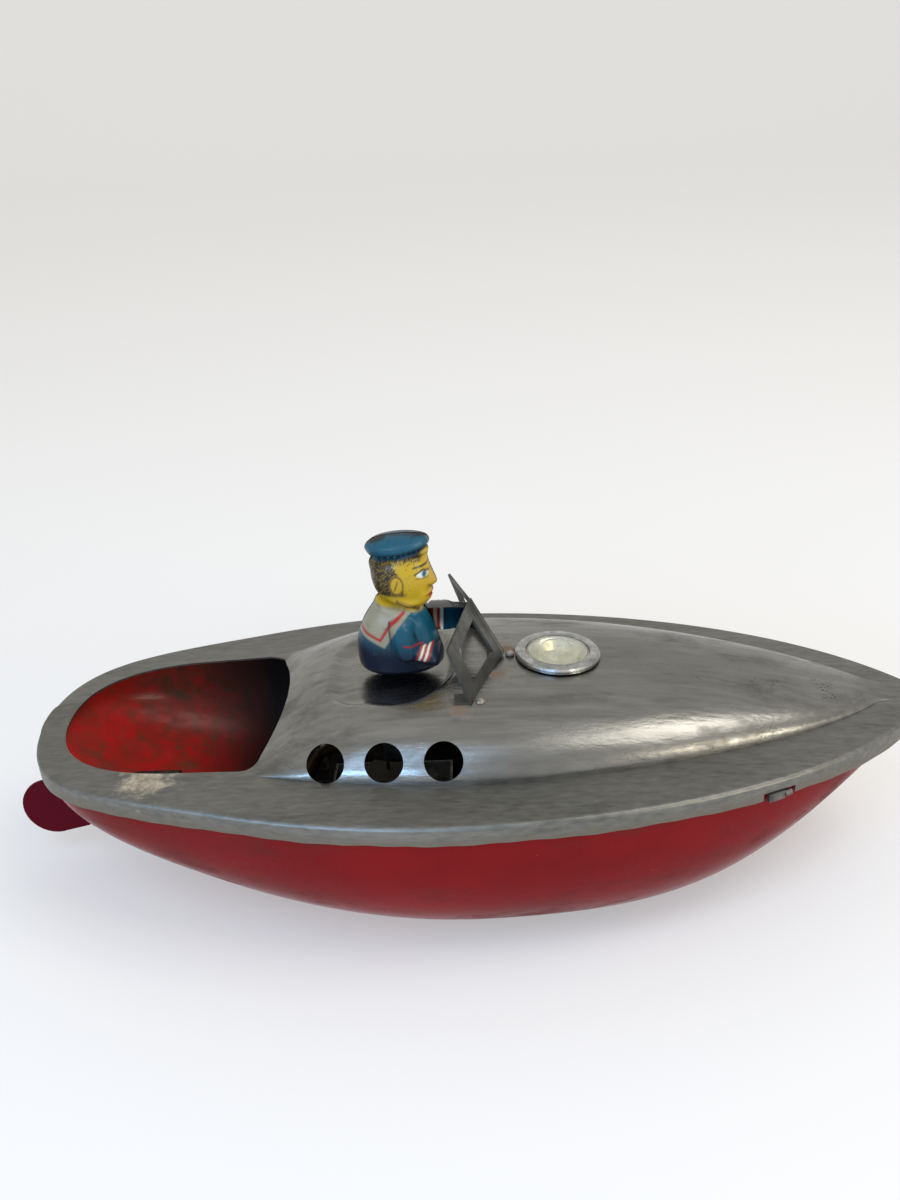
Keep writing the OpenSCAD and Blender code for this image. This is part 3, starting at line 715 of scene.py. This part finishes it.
def figure_color(x, z, port):
    """The printed picture on a half of the driver, with painted shade: the jacket darkens to navy towards the
    bottom, and the far arm and near hand are darkened.
    """
    rng = np.random.default_rng(5)
    # Painted shade: the jacket goes from teal to navy towards the bottom.
    shade = smoothstep(24.5, 17.0, z + 0.12 * (x + 20))
    color = np.array(TEAL)[None, :] * (1 - shade[:, None]) + np.array(NAVY)[None, :] * shade[:, None]
    neck = smoothstep(29.4, 30.4, z + 0.18 * (x + 18))
    color = layer(color, neck, SKIN)
    outline = np.array(((-28.6, 33.0), (-15.0, 31.4), (-17.2, 29.2), (-20.2, 27.0), (-22.4, 22.8),
                        (-23.8, 20.8), (-31.6, 24.6)), float)
    collar = smoothstep(-0.25, 0.25, edge_distance(outline, x, z)[0]) * (1 - neck)
    color = layer(color, collar, CREAM)
    trim = ((-30.0, 25.2), (-24.8, 22.8), (-21.8, 27.4), (-18.6, 29.6))
    for start, end in zip(trim, trim[1:]):
        color = layer(color, stripe(x, z, start, end, 0.7), RED)
    if port:
        arm = smoothstep(-15.6, -14.6, x) * smoothstep(29.5, 28.6, z) * smoothstep(20.6, 21.4, z)
        # Painted shade: the far arm is the jacket's teal darkened to deep teal, then to navy towards the hand
        # and black along its top; the cuffs between are print.
        color = layer(color, arm, DEEP_TEAL)
        cuffs = ((-12.6, -11.8, RED), (-11.8, -10.9, WHITE), (-10.9, -10.1, RED), (-10.1, -9.4, WHITE))
        for low, high, tint in cuffs:
            ring = smoothstep(low - 0.1, low + 0.1, x) * smoothstep(high + 0.1, high - 0.1, x)
            color = layer(color, arm * ring, tint)
        color = layer(color, arm * smoothstep(-8.0, -3.6, x), NAVY)
        color = layer(color, arm * smoothstep(26.6, 27.2, z), BLACK)
    else:
        color = layer(color, stripe(x, z, (-22.4, 27.6), (-22.0, 19.0), 0.35), NAVY)
        color = layer(color, stripe(x, z, (-22.0, 19.0), (-19.0, 15.6), 0.35), NAVY)
        color = layer(color, stripe(x, z, (-16.4, 24.6), (-14.6, 19.8), 0.35), NAVY)
        for shift, tint in ((0.0, RED), (0.7, WHITE), (1.4, RED), (2.1, WHITE), (2.8, RED)):
            start, end = (-14.6 + shift, 20.6), (-16.2 + shift, 17.4)
            color = layer(color, stripe(x, z, start, end, 0.6), tint)
        color = layer(color, stripe(x, z, (-18.8, 22.0), (-14.4, 21.4), 0.45), RED)
        # Painted shade: the near hand is darkened to navy.
        color = layer(color, smoothstep(-11.6, -10.8, x) * smoothstep(20.6, 19.8, z), NAVY)
    speckle = rng.random(len(x))
    hair_edge = smoothstep(-0.5, 0.5, -(x + 19.2) - 0.32 * (z - 38) + 0.9 * (speckle - 0.5))
    hair_edge *= smoothstep(33.4, 34.6, z)
    fringe = smoothstep(42.0, 43.4, z + 1.2 * (speckle - 0.5)) * smoothstep(-12.6, -14.4, x)
    hair = np.maximum(hair_edge * (0.72 + 0.28 * (speckle > 0.35)), fringe)
    color = layer(color, np.clip(hair, 0, 1), HAIR)
    ear = smoothstep(1.0, 0.86, np.hypot((x + 19.9) / 1.9, (z - 37.0) / 2.9))
    ear_line = ear - smoothstep(0.80, 0.66, np.hypot((x + 19.9) / 1.9, (z - 37.0) / 2.9))
    color = layer(color, ear, SKIN)
    color = layer(color, np.clip(ear_line, 0, 1), (0.14, 0.07, 0.012))
    color = layer(color, stripe(x, z, (-19.6, 38.2), (-20.4, 35.8), 0.35), (0.14, 0.07, 0.012))
    color = layer(color, stripe(x, z, (-15.6, 41.2), (-12.5, 41.4), 0.5), HAIR)
    eye = smoothstep(1.05, 0.85, np.hypot((x + 13.5) / 1.5, (z - 39.3) / 0.78))
    color = layer(color, eye, WHITE)
    iris = smoothstep(1.1, 0.8, np.hypot((x + 13.1) / 0.6, (z - 39.3) / 0.75))
    color = layer(color, iris, (0.008, 0.10, 0.17))
    color = layer(color, stripe(x, z, (-15.4, 39.5), (-13.4, 40.4), 0.4), BLACK)
    color = layer(color, stripe(x, z, (-13.4, 40.4), (-12.0, 39.7), 0.4), BLACK)
    color = layer(color, stripe(x, z, (-15.2, 38.5), (-12.2, 38.3), 0.25), (0.14, 0.07, 0.012))
    color = layer(color, smoothstep(1.1, 0.8, np.hypot((x + 11.5) / 1.1, (z - 33.1) / 0.75)), LIPS)
    color = layer(color, stripe(x, z, (-12.3, 36.2), (-11.4, 35.0), 0.3), (0.16, 0.05, 0.01))
    color = layer(color, stripe(x, z, (-20.2, 32.8), (-14.5, 30.4), 0.3), (0.20, 0.10, 0.01))
    color = layer(color, stripe(x, z, (-20.2, 32.2), (-15.0, 29.7), 0.6), (0.10, 0.05, 0.02))
    cap = smoothstep(-0.25, 0.25, edge_distance(round_outline(CAP), x, z)[0])
    color = layer(color, cap, TEAL)
    color = layer(color, cap * smoothstep(45.4, 44.4, z - 0.16 * (x + 19)), DEEP_TEAL)
    color = layer(color, stripe(x, z, (-27.0, 43.3), (-12.2, 45.5), 0.5), NAVY)
    for start, end in (((-26.0, 47.3), (-22.4, 48.5)), ((-17.6, 49.0), (-12.4, 48.5))):
        color = layer(color, stripe(x, z, start, end, 0.7), BLACK)
    blotch = smoothstep(0.965, 0.99, rng.random(len(x))) * smoothstep(30, 44, z) * 0.6
    return layer(color, blotch, BLACK)


def driver_half(name, port):
    """A pressed half of the driver: a bossed sheet with a rolled-in edge."""
    step = 0.28
    parts = [round_outline(CAP), round_outline(HEAD), round_outline(TORSO)]
    if port:
        parts.append(round_outline(FAR_ARM))
    xs = np.arange(-33, 2, step)
    zs = np.arange(COCKPIT_FLOOR + 0.1, 51.5, step)
    gx, gz = (g.ravel() for g in np.meshgrid(xs, zs))
    best = np.full(len(gx), -99.0)
    ex, ez = gx.copy(), gz.copy()
    for outline in parts:
        depth, nx, nz = edge_distance(outline, gx, gz)
        better = depth > best
        best = np.where(better, depth, best)
        ex = np.where(better, nx, ex)
        ez = np.where(better, nz, ez)
    keep = best > -step * 1.05
    px = np.where(best < 0, ex, gx)
    pz = np.where(best < 0, ez, gz)
    inner = np.maximum(best, 0)
    bevel = np.sqrt(np.clip(1 - (1 - np.clip(inner / 2.2, 0, 1)) ** 2, 0, 1))
    height = figure_height(px, pz, port)
    tuck = 0.5 + 0.5 * smoothstep(COCKPIT_FLOOR, COCKPIT_FLOOR + 3.8, pz)
    py = 0.16 + np.minimum(height, 8.6) * bevel * tuck
    side = 1 if port else -1
    index = -np.ones(len(gx), int)
    index[keep] = np.arange(keep.sum())
    grid = index.reshape(len(zs), len(xs))
    points = [(x, side * y, z) for x, y, z in zip(px[keep], py[keep], pz[keep])]
    colors = figure_color(px[keep], pz[keep], port)
    edge = best[keep] <= 0
    colors[edge] = BLACK
    # The same sheet again, moved in by the tin's thickness, is the back. The two share the outline's points,
    # but leave small gaps, under 2 mm, on and beside the outline.
    count = len(points)
    thick = np.flatnonzero(~edge)
    inner_of = np.arange(count)
    inner_of[thick] = count + np.arange(len(thick))
    points += [(x, side * max(0.16, abs(y) - 0.45), z) for x, y, z in (points[i] for i in thick)]
    colors = np.concatenate([colors, colors[thick]])
    faces = []
    for r in range(len(zs) - 1):
        for c in range(len(xs) - 1):
            quad = (grid[r, c], grid[r, c + 1], grid[r + 1, c + 1], grid[r + 1, c])
            if min(quad) < 0 or all(edge[q] for q in quad):
                continue
            faces.append(quad)
            faces.append(tuple(int(inner_of[q]) for q in quad[::-1]))
    obj = mesh_object(name, points, faces, 60)
    attribute = obj.data.color_attributes.new("paint", "FLOAT_COLOR", "POINT")
    data = np.ones((len(points), 4))
    data[:, :3] = colors
    attribute.data.foreach_set("color", data.ravel())
    return obj


# ---------- dressing the nodes ----------
def dress(node, material):
    """Gives a CAD node or a new piece one material."""
    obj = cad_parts[node] if isinstance(node, str) else node
    obj.data.materials.clear()
    obj.data.materials.append(material)


def stand_for(obj, node, material):
    """A finer piece takes the place of a CAD node on the hull's body."""
    dress(obj, material)
    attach(obj, "hull_body")
    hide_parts(node)


def mark_inside(hull):
    """Marks the hull's inner skin, so that its paint can be scorched."""
    mesh = hull.data
    attribute = mesh.color_attributes.new("inside", "FLOAT_COLOR", "CORNER")
    values = np.zeros((len(mesh.loops), 4))
    for polygon in mesh.polygons:
        centre = polygon.center
        outward = Vector((0.0, centre.y, centre.z - (RIM_H + 6) * MM))
        facing = 1.0 if polygon.normal.dot(outward) < 0 else 0.0
        values[polygon.loop_start:polygon.loop_start + polygon.loop_total, :3] = facing
    values[:, 3] = 1.0
    attribute.data.foreach_set("color", values.ravel())


deck = build_deck()
stand_for(deck, "deck", tin_material())
hull = build_hull()
mark_inside(hull)
stand_for(hull, "hull_shell", hull_material())

litho_and_shade = painted_material("driver_print_and_shade", 0.38)
for half_name, is_port in (("driver_starboard_half", False), ("driver_port_half", True)):
    stand_for(driver_half(half_name + "_fine", is_port), half_name, litho_and_shade)

dark_steel = metal_material("dark_steel", (0.10, 0.095, 0.09), (0.22, 0.21, 0.20), 0.45)
sooty_steel = metal_material("sooty_steel", (0.02, 0.018, 0.016), (0.07, 0.065, 0.06), 0.55)
brass = metal_material("sooty_brass", (0.018, 0.012, 0.007), (0.07, 0.045, 0.02), 0.5)
tray_tin = metal_material("tray_tin", (0.25, 0.24, 0.22), (0.50, 0.49, 0.46), 0.35)
for name in ("driver_tabs", "bow_fixing_tabs", "rudder_pin"):
    dress(name, dark_steel)
for name in ("boiler_hangers", "burner_cradle"):
    dress(name, sooty_steel)
for name in ("boiler_pan", "boiler_diaphragm", "boiler_seam_ring", "water_tube_starboard", "water_tube_port"):
    dress(name, brass)
for name in ("burner_tray", "burner_handle"):
    dress(name, tray_tin)
dress("windscreen", metal_material("dull_zinc", (0.075, 0.075, 0.07), (0.15, 0.15, 0.14), 0.42, 1.0, 120.0))
rusty_solder = metal_material("rusty_solder", (0.13, 0.055, 0.025), (0.42, 0.38, 0.33), 0.5, 0.6, 900.0)
dress("windscreen_solder", rusty_solder)
dress("tube_ferrules", metal_material("tube_solder", (0.03, 0.022, 0.018), (0.10, 0.08, 0.065), 0.6))
dress("deck_light_bezel", metal_material("bright_bezel", (0.26, 0.26, 0.25), (0.55, 0.55, 0.53), 0.2))
dress("deck_light_lens", glass_material())
dress("deck_light_reflector", metal_material("aged_reflector", (0.52, 0.46, 0.26), (0.86, 0.82, 0.62), 0.25))
dress("burner_candle", plain_material("sooty_wax", (0.10, 0.085, 0.06), 0.6))
dress("burner_wick", plain_material("charred_wick", (0.02, 0.018, 0.015), 0.9))
# Painted shade: the rudder's red is darker than the hull's, standing for the shadow it sits in.
shaded_rudder_red = plain_material("rudder_red_painted_shade", (0.085, 0.001, 0.008), 0.45, Specular_IOR_Level=0.06)
dress("rudder_blade", shaded_rudder_red)
dress("rudder_bracket", shaded_rudder_red)


# ---------- floor, light and camera ----------
FLOOR_NEAR = -2.0
FLOOR_FAR = 1.6
WALL_TOP = 2.6
SWEEP = 0.9


def backdrop():
    """A pale floor that curves up into a wall behind the boat."""
    profile = [(FLOOR_NEAR, 0.0)]
    for i in range(25):
        a = math.pi / 2 * i / 24
        profile.append((FLOOR_FAR + SWEEP * math.sin(a), SWEEP * (1 - math.cos(a))))
    profile.append((FLOOR_FAR + SWEEP, WALL_TOP))
    verts = [(x, y, z) for y, z in profile for x in (-4.0, 4.0)]
    faces = [(2 * i, 2 * i + 1, 2 * i + 3, 2 * i + 2) for i in range(len(profile) - 1)]
    mesh = bpy.data.meshes.new("backdrop")
    mesh.from_pydata(verts, [], faces)
    obj = bpy.data.objects.new("backdrop", mesh)
    bpy.context.scene.collection.objects.link(obj)
    obj.data.shade_smooth()
    dress(obj, plain_material("pale_floor", (0.63, 0.62, 0.605), 0.9, Specular_IOR_Level=0.0,
                              Emission_Color=(1.0, 0.985, 0.96), Emission_Strength=0.27))


backdrop()


def area_light(name, place, target, size, power, color):
    """A soft rectangular light that looks at a target. Places are in metres."""
    data = bpy.data.lights.new(name, "AREA")
    data.shape = "RECTANGLE"
    data.size, data.size_y = size
    data.energy = power
    data.color = color
    obj = bpy.data.objects.new(name, data)
    bpy.context.scene.collection.objects.link(obj)
    obj.location = place
    obj.rotation_euler = (Vector(target) - Vector(place)).to_track_quat("-Z", "Y").to_euler()


area_light("top_soft", (0.55, -0.2, 0.95), (0.03, 0, 0.04), (0.55, 0.4), 3.0, (1.0, 0.96, 0.88))
area_light("near_cool", (-0.24, -0.52, 0.80), (-0.03, 0, 0.04), (0.34, 0.42), 1.7, (0.36, 0.62, 1.0))
area_light("bow_warm", (0.85, -0.72, 0.36), (0.04, 0, 0.04), (0.4, 0.22), 3.4, (1.0, 0.91, 0.76))
area_light("stern_cool", (-0.42, -0.85, 0.40), (-0.03, 0, 0.04), (0.5, 0.26), 4.0, (0.36, 0.62, 1.0))

world = bpy.data.worlds.new("studio")
world.use_nodes = True
world.node_tree.nodes["Background"].inputs["Color"].default_value = (0.93, 0.92, 0.90, 1.0)
world.node_tree.nodes["Background"].inputs["Strength"].default_value = 0.75
bpy.context.scene.world = world
bpy.context.scene.view_settings.view_transform = "Standard"

# The camera stands off the starboard side, a little aft of midships, and looks down at the deck.
CAMERA_PLACE = (1.11, -265.81, 159.96)
CAMERA_PITCH = math.radians(26.03)
CAMERA_YAW = math.radians(1.80)
CAMERA_ROLL = math.radians(-2.88)
CAMERA_LENS = 35.65

forward = Vector((-math.sin(CAMERA_YAW) * math.cos(CAMERA_PITCH),
                  math.cos(CAMERA_YAW) * math.cos(CAMERA_PITCH),
                  -math.sin(CAMERA_PITCH)))
right = Vector((math.cos(CAMERA_YAW), math.sin(CAMERA_YAW), 0))
up = right.cross(forward)
rolled_right = math.cos(CAMERA_ROLL) * right + math.sin(CAMERA_ROLL) * up
rolled_up = math.cos(CAMERA_ROLL) * up - math.sin(CAMERA_ROLL) * right
camera_data = bpy.data.cameras.new("camera")
camera_data.sensor_width = 36
camera_data.lens = CAMERA_LENS
camera_data.clip_start = 0.01
camera = bpy.data.objects.new("camera", camera_data)
bpy.context.scene.collection.objects.link(camera)
camera.matrix_world = Matrix((
    (rolled_right.x, rolled_up.x, -forward.x, (CAMERA_PLACE[0] + ROW_X) * MM),
    (rolled_right.y, rolled_up.y, -forward.y, CAMERA_PLACE[1] * MM),
    (rolled_right.z, rolled_up.z, -forward.z, (CAMERA_PLACE[2] + RIM_H) * MM),
    (0, 0, 0, 1)))
bpy.context.scene.camera = camera

bpy.context.view_layer.update()
